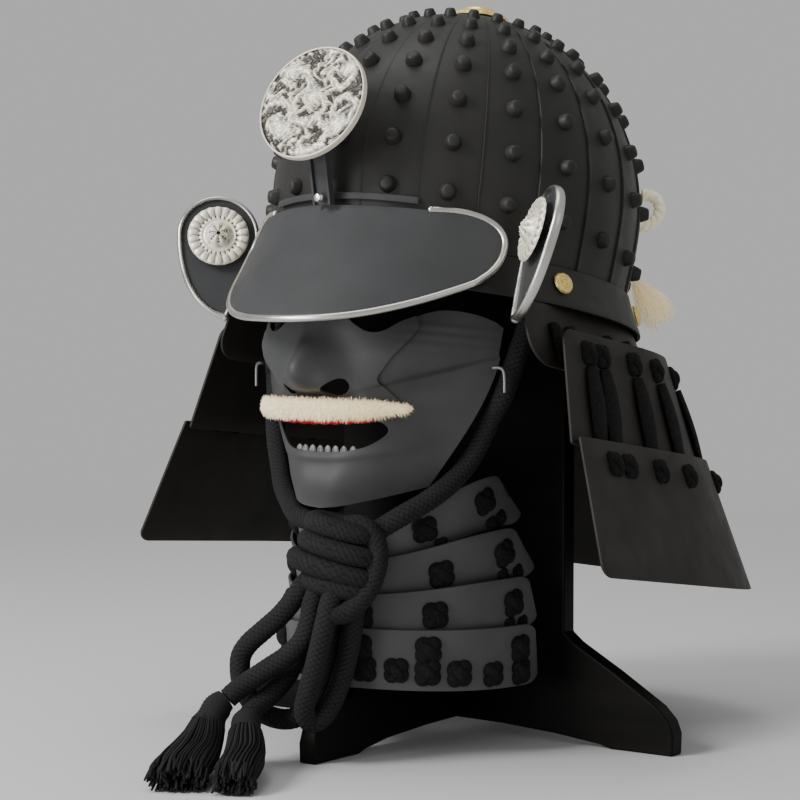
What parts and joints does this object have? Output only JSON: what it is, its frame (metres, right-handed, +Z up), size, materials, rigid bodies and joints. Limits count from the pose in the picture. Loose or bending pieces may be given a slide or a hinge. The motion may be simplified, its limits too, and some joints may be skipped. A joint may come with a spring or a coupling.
{
  "type": "samurai helmet with face mask on stand",
  "caption": "Riveted samurai helmet with visor, crest disc, turnbacks and laced neck guard over a face mask with moustache and throat guard, tied with a cord, on a cross-footed wooden stand.",
  "frame": {"origin": "on the surface the stand's feet rest on, under the middle of the object without its cord", "axes": "+Z up, the face looks along -Y, +X is the wearer's left"},
  "size_m": [0.3556, 0.4582, 0.4632],
  "materials": {
    "dark_iron": "dull dark grey lacquer",
    "grey_iron": "satin dark grey lacquer",
    "silver": "satin silver edging",
    "old_silver": "cast relief with dark hollows",
    "gold": "satin gilt",
    "cream_hair": "cream fibre",
    "red_felt": "red felt",
    "teeth": "worn pale paint",
    "dark_cord": "thick braided cord",
    "black_wood": "black semi-gloss lacquer"
  },
  "bodies": {
    "root": {"back_cord_fringe": "cream_hair", "back_cord_ring": "cream_hair", "bowl": "dark_iron", "brow_band": "dark_iron", "cheek_hook_left": "silver", "cheek_hook_right": "silver", "crest_disc": "old_silver", "crest_pin": "silver", "crest_prong": "dark_iron", "crown_fitting": "gold", "gold_stud_1": "gold", "gold_stud_2": "gold", "gold_stud_3": "gold", "gold_stud_4": "gold", "gold_stud_5": "gold", "lower_teeth": "teeth", "mask_plate": "grey_iron", "moustache": "cream_hair", "moustache_backing": "red_felt", "neck_lame_1": "dark_iron", "neck_lame_2": "dark_iron", "neck_lame_3": "dark_iron", "nose_piece": "grey_iron", "rope_knot": "dark_cord", "rope_loop_front": "dark_cord", "rope_loop_side": "dark_cord", "rope_side_left": "dark_cord", "rope_side_right": "dark_cord", "rope_tail_1": "dark_cord", "rope_tail_2": "dark_cord", "rosette_left": "old_silver", "rosette_post_left": "silver", "rosette_post_right": "silver", "rosette_right": "old_silver", "stand_foot_back": "black_wood", "stand_foot_front": "black_wood", "stand_plank": "black_wood", "tassel_1": "dark_cord", "tassel_2": "dark_cord", "throat_lame_1": "grey_iron", "throat_lame_2": "grey_iron", "throat_lame_3": "grey_iron", "throat_lame_4": "grey_iron", "turnback_left": "dark_iron", "turnback_right": "dark_iron", "turnback_rim_left": "silver", "turnback_rim_right": "silver", "visor": "dark_iron", "visor_mount_strip": "dark_iron", "visor_rim": "silver"}
  },
  "joints": []
}
